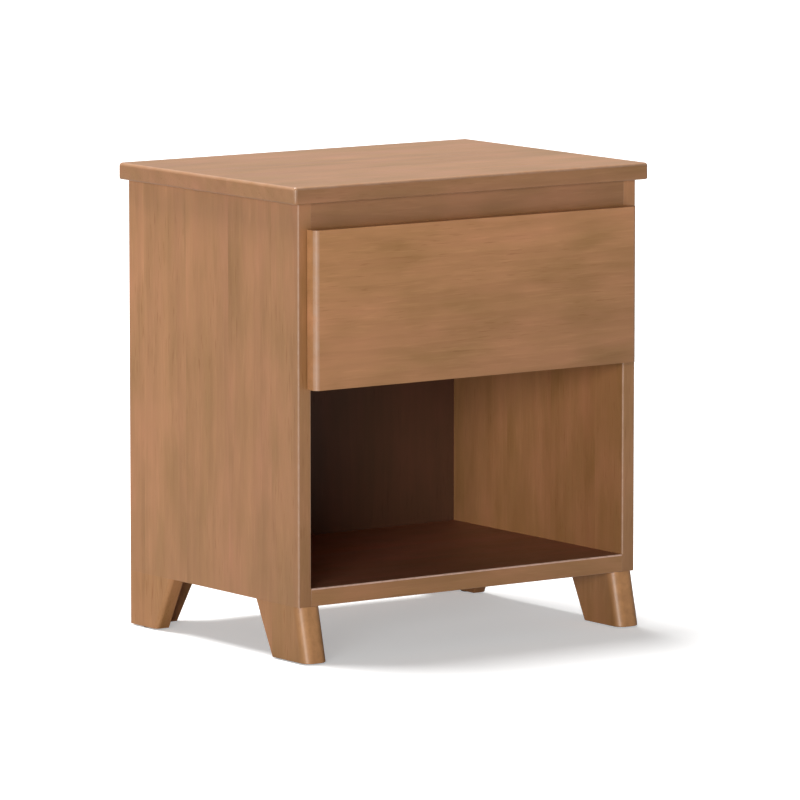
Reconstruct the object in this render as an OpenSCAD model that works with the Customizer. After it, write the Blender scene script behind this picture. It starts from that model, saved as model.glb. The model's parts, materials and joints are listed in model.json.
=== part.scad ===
/* [Case] */
// Outside width of the case across the two side panels
case_w = 484; // [400:1:600]
// Depth of the case from the front edge of the side panels to the rear
case_d = 350; // [285:1:430]
// Height of the side panels
case_h = 466; // [380:1:600]
// Thickness of the side panels
side_t = 18; // [15:0.5:23]
// Thickness of the cubby floor
floor_t = 21; // [16:0.5:26]
// Thickness of the divider between the drawer and the cubby
divider_t = 18; // [12:0.5:22]
// Thickness of the back panel
back_t = 6; // [4:0.5:9]
// Distance from the rear of the case in to the back panel
back_inset = 5; // [3:0.5:10]
// Depth of the grooves that hold the back panel
back_groove = 6; // [4:0.5:8]
// Radius of the eased front edges of the case
case_ease = 2; // [1:0.5:4]

/* [Top board] */
// Thickness of the top board
top_t = 20; // [16:0.5:26]
// Overhang of the top board past each side panel
top_side_over = 11.5; // [0:0.5:25]
// Overhang of the top board past the front of the case
top_front_over = 10.5; // [0:0.5:18]
// Overhang of the top board past the rear of the case
top_back_over = 5; // [0:0.5:15]
// Radius of the top board's corners seen from above
top_corner_r = 4.5; // [2:0.5:12]
// Radius of the top board's rounded upper and lower edges
top_edge_r = 4; // [1:0.5:7]
// Thickness of the upright rails under the top board
rail_t = 18; // [15:0.5:22]
// Height of the front rail
front_rail_h = 40; // [34:1:50]
// Height of the rear rail
rear_rail_h = 50; // [40:1:70]
// Width and height of the cleats under the top board
cleat_w = 18; // [15:0.5:24]

/* [Feet] */
// Height of the feet, without the glides
foot_h = 64; // [50:1:90]
// Thickness of the front feet
foot_t = 33; // [26:0.5:40]
// Length of a foot where it meets the case
foot_len = 87; // [70:1:110]
// Distance that the slanted edge of a foot runs in towards the floor
foot_rake = 33; // [15:1:40]
// Distance that the front feet lean forward at the floor
foot_splay = 15; // [0:0.5:17]
// Radius of the front feet's rounded front edges
foot_nose_r = 12; // [4:0.5:12.5]
// Thickness of the boards of the rear feet
wing_t = 19; // [15:0.5:23]
// Width of the glue blocks in the rear feet
block_w = 20; // [16:0.5:26]
// Height of the glue blocks in the rear feet
block_h = 40; // [25:1:48]
// Diameter of the floor glides
glide_d = 15; // [12:0.5:18]
// Thickness of the floor glides
glide_t = 1.5; // [1:0.5:4]

/* [Drawer] */
// Height of the drawer front
front_h = 184; // [150:1:224]
// Thickness of the drawer front
front_t = 17.5; // [15:0.5:22]
// Width of side panel edge left showing beside the drawer front
front_reveal = 11.5; // [4:0.5:14]
// Height of front rail left showing above the drawer front
front_drop = 30; // [20:1:33]
// Gap between the back of the drawer front and the case
front_gap = 1; // [0.5:0.5:3]
// Radius of the upright edges of the drawer front
front_side_r = 6; // [2:0.5:8]
// Radius of the level edges of the drawer front
front_edge_r = 3; // [1:0.5:6]
// Height of the divider's underside above the bottom of the drawer front
divider_up = 6; // [0:1:12]
// Depth of the finger space behind the bottom of the drawer front
finger_gap = 25; // [18:1:40]
// Thickness of the drawer box sides, front and back
box_t = 12; // [10:0.5:15]
// Thickness of the drawer bottom
box_bottom_t = 5; // [3:0.5:6]
// Height of the drawer bottom above the lower edge of the box
box_bottom_up = 7; // [5:0.5:12]
// Clearance under the drawer box
box_under = 6; // [3:0.5:12]
// Clearance over the drawer box
box_over = 24; // [10:1:30]
// Number of dovetails at each corner of the drawer box
tail_count = 4; // [2:1:6]

/* [Slides] */
// Overall thickness of one slide, closed
slide_t = 12.7; // [12.5:0.1:14]
// Height of the case member of a slide
slide_h = 45.6; // [43:0.2:48]
// Thickness of the slide's steel
sheet_t = 1.2; // [1:0.1:1.4]
// Diameter of the bearing balls
ball_d = 3.6; // [3.2:0.1:4]
// Number of balls in one row
ball_count = 6; // [3:1:8]
// Length of a ball cage
cage_len = 120; // [90:1:130]
// Height of the slide's middle above the lower edge of the drawer box
slide_up = 40; // [30:1:44]

/* [Fasteners] */
// Diameter of the wooden dowels
peg_d = 8; // [6:1:8]
// Length of the wooden dowels
peg_len = 30; // [24:1:34]
// Diameter of the wood screws
screw_d = 3.5; // [3:0.5:4]

/* [Hidden] */

LEFT = -1;
RIGHT = 1;
eps = 0.02;
smooth = 48;
fine = 24;

// Fits between pieces that do not move against each other
peg_clear = 0.05;
peg_end = 0.5;
glue_gap = 0.05;
panel_play = 0.5;
seat_gap = 0.3;

// Case levels and planes, with the origin under the middle of the outline
case_z = glide_t + foot_h;
top_z = case_z + case_h;
front_reach = front_gap + front_t;
y_back = (case_d + front_reach - top_back_over) / 2;
y_front = y_back - case_d;
y_mid = (y_front + y_back) / 2;
in_w = case_w - 2 * side_t;
x_in = in_w / 2;
x_out = case_w / 2;
back_face = y_back - back_inset - back_t;
floor_top = case_z + floor_t;

// Drawer opening
front_top = top_z - front_drop;
front_bottom = front_top - front_h;
divider_z = front_bottom + divider_up;
divider_top = divider_z + divider_t;
divider_y = y_front + finger_gap;
rail_bottom = top_z - front_rail_h;

// Slide length goes in the standard steps that the case leaves room for
slide_step = 50;
slide_setback = 3;
slide_rear_room = 15;
slide_room = back_face - y_front - slide_setback - slide_rear_room;
slide_len = slide_step * floor(slide_room / slide_step);
slide_y0 = y_front + slide_setback;
slide_end = 4;

// Drawer box
box_w = in_w - 2 * slide_t;
box_x = box_w / 2;
box_z = divider_top + box_under;
box_h = rail_bottom - divider_top - box_under - box_over;
box_y0 = y_front - front_gap;
box_y1 = slide_y0 + slide_len + 1;
box_groove = box_t / 2;
slide_zc = box_z + slide_up;
tail_pitch = box_h / tail_count;
tail_root = 0.28;
tail_end = 0.38;

// Slide section, with u across from the case wall and v up from the slide's middle
ball_gap = 0.15;
race = ball_d + 2 * ball_gap;
lip = 2;
case_u = [0, slide_t - 2.9];
middle_u = [3, slide_t - 2.3];
drawer_u = [slide_t, 6.2];
outer_cage_u = [1.8, 7.9];
inner_cage_u = [4.8, 9.9];
outer_ball_u = 5.9;
inner_ball_u = 7.8;
case_half = slide_h / 2;
middle_half = case_half - sheet_t - race;
drawer_half = middle_half - sheet_t - race;
outer_ball_v = case_half - sheet_t - race / 2;
inner_ball_v = middle_half - sheet_t - race / 2;

// Ball cages and rubber buffers
cage_t = 0.6;
cage_hole = 0.3;
cage_y0 = slide_y0 + slide_len / 2 - cage_len / 2;
ball_pitch = cage_len / ball_count;
bumper_h = 20;
bumper_t = slide_end - 1;
bumper_back = 1;

// Holes of a slide, as shares of its length, and the slots between them
screw_stations = [0.12, 0.5, 0.88];
slot_stations = [0.3, 0.7];
slot_l = 14;
slot_w = screw_d + 1;

// Screws and dowels
head_d = 6.8;
head_h = 1.6;
pan_d = 8;
pan_h = 2.5;
side_bite = 12;
box_bite = box_t * 0.75;
peg_in_panel = 12;
case_peg_y = 42;
foot_peg_y = [18, 66];
back_peg_x = 25;
nail_d = 2;
nail_len = 12;
cleat_back = 2;
cleat_up_screw_y = case_d / 4;
cleat_side_screw_y = case_d / 8;
block_screw_in = block_w / 3;
front_screw_x = box_w * 0.3;

// Shares of a rail's height at its two dowels, and of the box's height at its front screws
rail_peg_levels = [0.3, 0.7];
front_screw_levels = [0.22, 0.78];

alder = [0.69, 0.50, 0.36];
alder_top = [0.78, 0.62, 0.48];
alder_dark = [0.38, 0.25, 0.17];
pine = [0.85, 0.75, 0.58];
ply = [0.80, 0.70, 0.54];
zinc = [0.75, 0.77, 0.79];
steel = [0.62, 0.64, 0.66];
black = [0.12, 0.12, 0.13];

// ---- drawing helpers ----

// The waste that rounds one corner of a rectangle
module nick(r) {
    difference() {
        translate([-eps, -eps]) square(r + eps);
        translate([r, r]) circle(r = r, $fn = smooth);
    }
}

// A rectangle with its corner at the origin and a radius for each corner, from lower left round
module soft_rect(w, h, radii) {
    difference() {
        square([w, h]);
        for (i = [0 : 3])
            if (radii[i] > 0)
                translate([i == 1 || i == 2 ? w : 0, i >= 2 ? h : 0])
                    mirror([i == 1 || i == 2 ? 1 : 0, 0])
                        mirror([0, i >= 2 ? 1 : 0])
                            nick(radii[i]);
    }
}

// Extrudes an outline drawn in x and z along y
module along_y(y0, y1) {
    translate([0, y1, 0]) rotate([90, 0, 0]) linear_extrude(y1 - y0) children();
}

// Extrudes an outline drawn in y and z along x
module along_x(x0, x1) {
    translate([x0, 0, 0]) rotate([90, 0, 90]) linear_extrude(x1 - x0) children();
}

// A box between two opposite corners
module block(low, high) {
    translate(low) cube(high - low);
}

// Left pieces are drawn in place, and right pieces are their mirror image
module on_side(side) {
    mirror([side == RIGHT ? 1 : 0, 0, 0]) children();
}

// A round peg along z, its middle at the origin
module peg(down, up, grow, more) {
    translate([0, 0, -down - more])
        cylinder(h = down + up + 2 * more, r = peg_d / 2 + grow, $fn = fine);
}

// A screw's shank along +z, with a tapered point
module screw_shank(len, grow) {
    r = screw_d / 2 + grow;
    tip = screw_d;
    translate([0, 0, -grow]) cylinder(h = len - tip + grow, r = r, $fn = fine);
    translate([0, 0, len - tip]) cylinder(h = tip, r1 = r, r2 = r / 4, $fn = fine);
}

// A countersunk wood screw from its head's face at the origin along +z
module wood_screw(len, grow) {
    translate([0, 0, -grow])
        cylinder(h = head_h + grow, r1 = head_d / 2 + grow, r2 = screw_d / 2 + grow, $fn = fine);
    screw_shank(len, grow);
}

// A pan head screw from its head's underside at the origin along +z
module pan_screw(len, grow) {
    translate([0, 0, -pan_h]) cylinder(h = pan_h, r = pan_d / 2, $fn = fine);
    screw_shank(len, grow);
}

// ---- fasteners of the case ----

// Places, as y and z, of the dowels that join the level boards to the side panels
function case_peg_places() = concat(
    [for (y = [y_front + case_peg_y, y_mid, y_back - case_peg_y]) [y, case_z + floor_t / 2]],
    [for (y = [divider_y + case_peg_y, y_mid, back_face - case_peg_y]) [y, divider_z + divider_t / 2]],
    [for (k = rail_peg_levels) [y_front + rail_t / 2, top_z - front_rail_h * k]],
    [for (k = rail_peg_levels) [back_face - seat_gap - rail_t / 2, top_z - rear_rail_h * k]]);

module case_pegs(grow, more) {
    for (side = [LEFT, RIGHT])
        for (p = case_peg_places())
            on_side(side)
                translate([-x_in, p[0], p[1]])
                    rotate([0, 90, 0])
                        peg(peg_in_panel, peg_len - peg_in_panel, grow, more);
}

module foot_pegs(grow, more) {
    for (side = [LEFT, RIGHT])
        on_side(side) {
            for (d = foot_peg_y) {
                translate([-x_out + side_t / 2, y_front + d, case_z])
                    peg(peg_len - peg_in_panel, peg_in_panel, grow, more);
                translate([-x_out + side_t / 2, y_back - d, case_z])
                    peg(peg_len - peg_in_panel, peg_in_panel, grow, more);
            }
            translate([-x_out + foot_len - back_peg_x, y_back - wing_t / 2, case_z])
                peg(peg_len - peg_in_panel, peg_in_panel, grow, more);
        }
}

module cleat_screw_set(grow) {
    for (side = [LEFT, RIGHT])
        on_side(side)
            for (d = [-1, 1]) {
                translate([-x_in + cleat_w / 2, y_mid + d * cleat_up_screw_y, top_z - cleat_w])
                    wood_screw(cleat_w + side_bite, grow);
                translate([-x_in + cleat_w, y_mid + d * cleat_side_screw_y, top_z - cleat_w / 2])
                    rotate([0, -90, 0]) wood_screw(cleat_w + side_bite, grow);
            }
}

module block_screw_set(grow) {
    for (side = [LEFT, RIGHT])
        on_side(side)
            translate([-x_out + wing_t + block_screw_in, y_back - wing_t - block_screw_in, case_z - block_h])
                wood_screw(block_h + side_bite, grow);
}

module glide_nails(grow) {
    for (side = [LEFT, RIGHT])
        on_side(side)
            for (p = glide_places())
                translate([p[0], p[1], glide_t - eps])
                    cylinder(h = nail_len + eps, r = nail_d / 2 + grow, $fn = fine);
}

// Places, as x and y, of the glides under the left feet
function glide_places() = [
    [-x_out + foot_t / 2, y_front + (foot_len - foot_rake - foot_splay) / 2],
    [-x_out + wing_t / 2, y_back - (foot_len - foot_rake) / 2]];

// ---- case ----

module top_board() {
    w = case_w + 2 * top_side_over;
    d = case_d + top_front_over + top_back_over;
    corners = [top_corner_r, top_corner_r, top_corner_r, top_corner_r];
    edges = [top_edge_r, top_edge_r, top_edge_r, top_edge_r];
    color(alder_top)
        difference() {
            translate([-w / 2, y_back + top_back_over - d, top_z])
                intersection() {
                    linear_extrude(top_t) soft_rect(w, d, corners);
                    along_y(0, d) soft_rect(w, top_t, edges);
                    along_x(0, w) soft_rect(d, top_t, edges);
                }
            cleat_screw_set(peg_clear);
        }
}

module side_panel(side) {
    color(alder)
        difference() {
            on_side(side)
                difference() {
                    translate([-x_out, y_front, case_z])
                        linear_extrude(case_h)
                            soft_rect(side_t, case_d, [case_ease, case_ease, 0, 0]);
                    block([-x_in - back_groove, back_face, floor_top - back_groove],
                        [-x_in + eps, back_face + back_t + seat_gap, top_z + eps]);
                }
            case_pegs(peg_clear, peg_end);
            foot_pegs(peg_clear, peg_end);
            cleat_screw_set(peg_clear);
            slide_case_screw_set(peg_clear);
        }
}

module cubby_floor() {
    color(alder)
        difference() {
            along_x(-x_in, x_in)
                translate([y_front, case_z])
                    soft_rect(case_d, floor_t, [case_ease, 0, 0, case_ease]);
            block([-x_in - eps, back_face, floor_top - back_groove],
                [x_in + eps, back_face + back_t + seat_gap, floor_top + eps]);
            case_pegs(peg_clear, peg_end);
            foot_pegs(peg_clear, peg_end);
            block_screw_set(peg_clear);
        }
}

module divider_panel() {
    color(alder_dark)
        difference() {
            along_x(-x_in, x_in)
                translate([divider_y, divider_z])
                    soft_rect(back_face - seat_gap - divider_y, divider_t, [case_ease, 0, 0, case_ease]);
            case_pegs(peg_clear, peg_end);
        }
}

module back_panel() {
    grip = back_groove - panel_play;
    color(alder_dark)
        block([-x_in - grip, back_face + seat_gap / 2, floor_top - grip],
            [x_in + grip, back_face + back_t + seat_gap / 2, top_z - panel_play]);
}

module front_rail() {
    color(alder)
        difference() {
            along_x(-x_in, x_in)
                translate([y_front, rail_bottom])
                    soft_rect(rail_t, front_rail_h, [case_ease, 0, 0, 0]);
            case_pegs(peg_clear, peg_end);
        }
}

module rear_rail() {
    color(pine)
        difference() {
            block([-x_in, back_face - seat_gap - rail_t, top_z - rear_rail_h],
                [x_in, back_face - seat_gap, top_z]);
            case_pegs(peg_clear, peg_end);
        }
}

module cleat(side) {
    color(pine)
        difference() {
            on_side(side)
                block([-x_in, y_front + rail_t + cleat_back, top_z - cleat_w],
                    [-x_in + cleat_w, back_face - seat_gap - rail_t - cleat_back, top_z]);
            cleat_screw_set(peg_clear);
        }
}

// ---- feet ----

// A front foot leans forward and tapers to the floor, with its two front edges rounded
module foot_front(side) {
    lean = atan(foot_splay / foot_h);
    rounds = [foot_nose_r, foot_nose_r, 0, 0];
    front = y_front - foot_splay;
    deep = foot_len + foot_splay;
    color(alder)
        difference() {
            on_side(side)
                intersection() {
                    along_x(-x_out - eps, -x_out + foot_t + eps)
                        polygon([[front - eps, glide_t],
                            [y_front + foot_len - foot_rake, glide_t],
                            [y_front + foot_len, case_z],
                            [front - eps, case_z]]);
                    translate([-x_out, front, glide_t])
                        rotate([-lean, 0, 0])
                            translate([0, 0, -foot_splay])
                                linear_extrude(foot_h / cos(lean) + deep * tan(lean) + foot_splay)
                                    soft_rect(foot_t, deep, rounds);
                }
            foot_pegs(peg_clear, peg_end);
            glide_nails(peg_clear);
        }
}

// The board of a rear foot that carries the side panel
module foot_rear_side(side) {
    color(alder)
        difference() {
            on_side(side)
                along_x(-x_out, -x_out + wing_t)
                    polygon([[y_back, glide_t],
                        [y_back, case_z],
                        [y_back - foot_len, case_z],
                        [y_back - foot_len + foot_rake, glide_t]]);
            foot_pegs(peg_clear, peg_end);
            glide_nails(peg_clear);
        }
}

// The board of a rear foot that runs under the back of the case
module foot_rear_back(side) {
    color(alder)
        difference() {
            on_side(side)
                along_y(y_back - wing_t, y_back)
                    polygon([[-x_out + wing_t, glide_t],
                        [-x_out + foot_len - foot_rake, glide_t],
                        [-x_out + foot_len, case_z],
                        [-x_out + wing_t, case_z]]);
            foot_pegs(peg_clear, peg_end);
        }
}

module corner_block(side) {
    color(pine)
        difference() {
            on_side(side)
                translate([-x_out + wing_t, y_back - wing_t, case_z - block_h])
                    linear_extrude(block_h)
                        polygon([[0, 0], [0, -block_w], [block_w, 0]]);
            block_screw_set(peg_clear);
        }
}

module floor_glides() {
    color(black) {
        glide_nails(0);
        for (side = [LEFT, RIGHT])
            on_side(side)
                for (p = glide_places())
                    translate([p[0], p[1], 0]) cylinder(h = glide_t, r = glide_d / 2, $fn = smooth);
    }
}

module case_dowels() {
    color(pine) case_pegs(0, 0);
}

module foot_dowels() {
    color(pine) foot_pegs(0, 0);
}

module cleat_screws() {
    color(zinc) cleat_screw_set(0);
}

module block_screws() {
    color(zinc) block_screw_set(0);
}

// ---- drawer ----

module drawer_front() {
    w = case_w - 2 * front_reveal;
    sides = [front_side_r, front_side_r, 0, 0];
    edges = [front_edge_r, 0, 0, front_edge_r];
    color(alder)
        difference() {
            translate([-w / 2, y_front - front_reach, front_bottom])
                intersection() {
                    linear_extrude(front_h) soft_rect(w, front_t, sides);
                    along_x(0, w) soft_rect(front_t, front_h, edges);
                }
            front_screw_set(peg_clear);
        }
}

module front_screw_set(grow) {
    for (side = [LEFT, RIGHT])
        for (k = front_screw_levels)
            translate([side * front_screw_x, box_y0 + box_t, box_z + box_h * k])
                rotate([90, 0, 0]) pan_screw(box_t + side_bite, grow);
}

// Dovetails of a drawer side at one end, in y and z, where inward is +1 or -1 along y
module tails(y_end, inward, grow) {
    for (k = [0 : tail_count - 1]) {
        zc = box_z + (k + 0.5) * tail_pitch;
        wide = tail_pitch * tail_end + grow;
        narrow = tail_pitch * tail_root + grow;
        y_tip = y_end - inward * grow;
        y_root = y_end + inward * (box_t + grow + eps);
        polygon([[y_tip, zc - wide], [y_root, zc - narrow], [y_root, zc + narrow], [y_tip, zc + wide]]);
    }
}

// The drawer bottom, or with grow above 0 the grooves that hold it
module bottom_slab(grow) {
    play = grow > 0 ? 0 : panel_play;
    x = box_x - box_t + box_groove - play;
    y = box_t - box_groove + play;
    z = box_z + box_bottom_up;
    block([-x, box_y0 + y, z - grow], [x, box_y1 - y, z + box_bottom_t + grow]);
}

module drawer_side(side) {
    color(pine)
        difference() {
            on_side(side)
                along_x(-box_x, -box_x + box_t) {
                    translate([box_y0 + box_t, box_z]) square([box_y1 - box_y0 - 2 * box_t, box_h]);
                    tails(box_y0, 1, 0);
                    tails(box_y1, -1, 0);
                }
            bottom_slab(glue_gap);
            slide_drawer_screw_set(peg_clear);
        }
}

// The board across the front or back of the box, with sockets for the tails
module drawer_end(y0, y_end, inward) {
    color(pine)
        difference() {
            block([-box_x, y0, box_z], [box_x, y0 + box_t, box_z + box_h]);
            for (side = [LEFT, RIGHT])
                on_side(side)
                    along_x(-box_x - eps, -box_x + box_t + glue_gap) tails(y_end, inward, glue_gap);
            bottom_slab(glue_gap);
            front_screw_set(peg_clear);
        }
}

module drawer_box_front() {
    drawer_end(box_y0, box_y0, 1);
}

module drawer_box_back() {
    drawer_end(box_y1 - box_t, box_y1, -1);
}

module drawer_bottom() {
    color(ply) bottom_slab(0);
}

module drawer_front_screws() {
    color(zinc) front_screw_set(0);
}

// ---- slides ----

// Places a left slide's section at its wall and height, and mirrors it for the right
module at_slide(side) {
    on_side(side) translate([-x_in, 0, slide_zc]) children();
}

// A channel section with its web at u[0] and its flanges reaching to u[1]
module channel(u, half, t) {
    translate([u[1] > u[0] ? u[0] : u[0] - t, -half]) square([t, 2 * half]);
    for (v = [-half, half - t])
        translate([min(u), v]) square([max(u) - min(u), t]);
}

// The waste of the slots through a member's web, from u on across
module screw_slots(u, reach) {
    for (k = slot_stations)
        translate([u, slide_y0 + slide_len * k, 0])
            rotate([0, 90, 0])
                linear_extrude(reach) {
                    square([slot_w, slot_l - slot_w], center = true);
                    for (d = [-1, 1])
                        translate([0, d * (slot_l - slot_w) / 2]) circle(r = slot_w / 2, $fn = fine);
                }
}

module slide_case(side) {
    color(steel)
        difference() {
            at_slide(side)
                difference() {
                    along_y(slide_y0, slide_y0 + slide_len) {
                        channel(case_u, case_half, sheet_t);
                        for (v = [-case_half, case_half - sheet_t - lip])
                            translate([case_u[1] - sheet_t, v]) square([sheet_t, sheet_t + lip]);
                    }
                    screw_slots(-eps, sheet_t + 2 * eps);
                }
            slide_case_screw_set(peg_clear);
        }
}

module slide_middle(side) {
    color(zinc)
        at_slide(side)
            difference() {
                along_y(slide_y0, slide_y0 + slide_len - slide_end)
                    channel(middle_u, middle_half, sheet_t);
                screw_slots(middle_u[0] - eps, sheet_t + 2 * eps);
            }
}

module slide_drawer(side) {
    color(zinc)
        difference() {
            at_slide(side)
                difference() {
                    along_y(slide_y0, slide_y0 + slide_len - slide_end)
                        channel(drawer_u, drawer_half, sheet_t);
                    screw_slots(slide_t - sheet_t - eps, sheet_t + 2 * eps);
                }
            slide_drawer_screw_set(peg_clear);
        }
}

module slide_case_screw_set(grow) {
    for (side = [LEFT, RIGHT])
        at_slide(side)
            for (k = screw_stations)
                translate([sheet_t, slide_y0 + slide_len * k, 0])
                    rotate([0, -90, 0]) wood_screw(sheet_t + side_bite, grow);
}

module slide_drawer_screw_set(grow) {
    for (side = [LEFT, RIGHT])
        at_slide(side)
            for (k = screw_stations)
                translate([slide_t - sheet_t, slide_y0 + slide_len * k, 0])
                    rotate([0, 90, 0]) wood_screw(sheet_t + box_bite, grow);
}

// One row of balls above the slide's middle and one below
module balls(u, v) {
    for (row = [-1, 1])
        for (k = [0 : ball_count - 1])
            translate([u, cage_y0 + (k + 0.5) * ball_pitch, row * v])
                sphere(r = ball_d / 2, $fn = fine);
}

// The waste of the balls' pockets in a cage
module ball_holes(u, v) {
    reach = cage_t * 2;
    for (row = [-1, 1])
        for (k = [0 : ball_count - 1])
            translate([u, cage_y0 + (k + 0.5) * ball_pitch, row * v - reach / 2])
                cylinder(h = reach, r = (ball_d + cage_hole) / 2, $fn = fine);
}

module cage(side, span, u, v) {
    color(steel)
        at_slide(side)
            difference() {
                along_y(cage_y0, cage_y0 + cage_len)
                    channel(span, v + cage_t / 2, cage_t);
                ball_holes(u, v);
            }
}

module ball_set(side, u, v) {
    color(zinc) at_slide(side) balls(u, v);
}

module slide_case_screws() {
    color(zinc) slide_case_screw_set(0);
}

module slide_drawer_screws() {
    color(zinc) slide_drawer_screw_set(0);
}

// Rubber buffers that the moving members meet when the drawer shuts
module slide_bumpers() {
    color(black)
        for (side = [LEFT, RIGHT])
            at_slide(side)
                block([sheet_t, slide_y0 + slide_len - bumper_t, -bumper_h / 2],
                    [case_u[1] - bumper_back, slide_y0 + slide_len, bumper_h / 2]);
}

top_board();
side_panel(LEFT);  // side_panel_left
side_panel(RIGHT);  // side_panel_right
cubby_floor();
divider_panel();
back_panel();
front_rail();
rear_rail();
cleat(LEFT);  // cleat_left
cleat(RIGHT);  // cleat_right
foot_front(LEFT);  // foot_front_left
foot_front(RIGHT);  // foot_front_right
foot_rear_side(LEFT);  // foot_rear_left_side
foot_rear_side(RIGHT);  // foot_rear_right_side
foot_rear_back(LEFT);  // foot_rear_left_back
foot_rear_back(RIGHT);  // foot_rear_right_back
corner_block(LEFT);  // corner_block_left
corner_block(RIGHT);  // corner_block_right
floor_glides();
case_dowels();
foot_dowels();
cleat_screws();
block_screws();
drawer_front();
drawer_box_front();
drawer_box_back();
drawer_side(LEFT);  // drawer_side_left
drawer_side(RIGHT);  // drawer_side_right
drawer_bottom();
drawer_front_screws();
slide_case(LEFT);  // slide_case_left
slide_case(RIGHT);  // slide_case_right
slide_middle(LEFT);  // slide_middle_left
slide_middle(RIGHT);  // slide_middle_right
slide_drawer(LEFT);  // slide_drawer_left
slide_drawer(RIGHT);  // slide_drawer_right
cage(LEFT, outer_cage_u, outer_ball_u, outer_ball_v);  // outer_cage_left
cage(RIGHT, outer_cage_u, outer_ball_u, outer_ball_v);  // outer_cage_right
cage(LEFT, inner_cage_u, inner_ball_u, inner_ball_v);  // inner_cage_left
cage(RIGHT, inner_cage_u, inner_ball_u, inner_ball_v);  // inner_cage_right
ball_set(LEFT, outer_ball_u, outer_ball_v);  // outer_balls_left
ball_set(RIGHT, outer_ball_u, outer_ball_v);  // outer_balls_right
ball_set(LEFT, inner_ball_u, inner_ball_v);  // inner_balls_left
ball_set(RIGHT, inner_ball_u, inner_ball_v);  // inner_balls_right
slide_case_screws();
slide_drawer_screws();
slide_bumpers();
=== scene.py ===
import json
import math

import bmesh
import bpy
from bpy.props import FloatProperty, FloatVectorProperty, PointerProperty
from mathutils import Matrix, Vector


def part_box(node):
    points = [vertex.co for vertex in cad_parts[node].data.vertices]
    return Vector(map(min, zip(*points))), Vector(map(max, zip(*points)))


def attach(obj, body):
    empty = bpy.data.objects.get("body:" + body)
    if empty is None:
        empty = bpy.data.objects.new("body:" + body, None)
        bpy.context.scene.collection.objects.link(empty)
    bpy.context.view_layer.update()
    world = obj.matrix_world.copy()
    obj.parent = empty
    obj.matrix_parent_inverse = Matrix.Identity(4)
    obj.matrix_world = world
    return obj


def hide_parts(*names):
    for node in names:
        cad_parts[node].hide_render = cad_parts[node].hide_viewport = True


bl_info = {
    "name": "Nightstand with drawer",
    "version": (1, 0, 0),
    "blender": (4, 5, 0),
    "location": "3D View > Sidebar > Nightstand",
    "description": "Builds the boards, feet, drawer and finishes of a small alder nightstand",
    "category": "Object",
}

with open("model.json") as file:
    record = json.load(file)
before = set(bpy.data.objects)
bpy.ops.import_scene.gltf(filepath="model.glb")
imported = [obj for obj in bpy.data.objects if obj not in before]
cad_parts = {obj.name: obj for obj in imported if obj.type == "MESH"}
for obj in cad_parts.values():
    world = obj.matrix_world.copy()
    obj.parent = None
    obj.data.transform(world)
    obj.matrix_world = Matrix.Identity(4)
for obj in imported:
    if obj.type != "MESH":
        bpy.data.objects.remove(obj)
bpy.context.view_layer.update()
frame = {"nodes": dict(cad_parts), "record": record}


def body_of(node):
    """The body that a cut node belongs to."""
    return next(b for b, nodes in frame["record"]["behaviour"]["bodies"].items() if node in nodes)


ROOT = body_of("top_board")
DRAWER = body_of("drawer_front")

AXES = {"X": 0, "Y": 1, "Z": 2}
AXIS_VECTORS = {"X": (1.0, 0.0, 0.0), "Y": (0.0, 1.0, 0.0), "Z": (0.0, 0.0, 1.0)}
ARC_STEPS = 8              # straight pieces in each rounded corner of an outline
GLIDE_STEPS = 40           # straight pieces round a glide
GLIDE_SPAN = 0.03          # no two glides lie as near as this
LEVEL_PLAY = 0.0001        # height within which two points are level
SAME_POINT = 1e-6          # distance within which two points are one
SHARP = math.radians(35)   # bend at which an edge is eased
BUTT = 0.0001              # easing where a board butts against another
SEAT = 0.0002              # easing of edges that meet the case from below or behind
SEAM = 0.0004              # easing of edges that lie against another board
BACK_PLAY = 0.00015        # play on each side of the back panel in its grooves
GROOVE_PLAY = 0.0005       # play past the back panel's edges in its grooves
WOOD_RELIEF = 0.00006      # depth of the open grain


# ---- sizes and colours that a user may change ----

def length(name, description, default, top, low=0.0):
    return FloatProperty(name=name, description=description, default=default, min=low, max=top,
                         subtype="DISTANCE", unit="LENGTH", precision=4)


def angle(name, description, degrees):
    return FloatProperty(name=name, description=description, default=math.radians(degrees),
                         subtype="ANGLE", unit="ROTATION")


def share(name, description, default):
    return FloatProperty(name=name, description=description, default=default, min=0.0, max=1.0)


def strength(name, description, default):
    return FloatProperty(name=name, description=description, default=default, min=0.0)


def colour(name, description, default):
    return FloatVectorProperty(name=name, description=description, default=default, size=3,
                               min=0.0, max=1.0, subtype="COLOR")


class NightstandSizes(bpy.types.PropertyGroup):
    top_edge: length("Top edge radius", "Rounding of the top board's upper edges", 0.0041, 0.007)
    top_under: length("Top lower edge radius", "Rounding of the top board's lower edges", 0.0022, 0.007)
    top_corner: length("Top corner radius", "Rounding of the top board's corners from above", 0.0045, 0.012)
    case_arris: length("Case arris radius", "Rounding of the side panels' outer front edges", 0.002, 0.004)
    inner_arris: length("Opening arris radius", "Rounding of the edges beside the opening", 0.0018, 0.003)
    small_arris: length("Small arris radius", "Easing of every other edge of a board", 0.0005, 0.001)
    front_side: length("Drawer front side radius", "Rounding of its upright edges", 0.006, 0.008)
    front_level: length("Drawer front level radius", "Rounding of its level edges", 0.0026, 0.005)
    foot_rake: length("Foot rake", "How far a foot's slanted edge runs in at the floor", 0.033, 0.04)
    foot_splay: length("Foot splay", "How far the front feet lean forward at the floor", 0.015, 0.017)
    foot_nose: length("Front foot nose radius", "Rounding of a front foot's front edges", 0.012, 0.0125)
    foot_arris: length("Rear foot arris radius", "Rounding of its outer slanted edge", 0.006, 0.009)
    foot_floor: length("Foot floor arris", "Rounding of the feet at the floor", 0.0012, 0.003)
    foot_seat: length("Foot reach", "Length of a foot where it meets the case", 0.087, 0.11)


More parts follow.
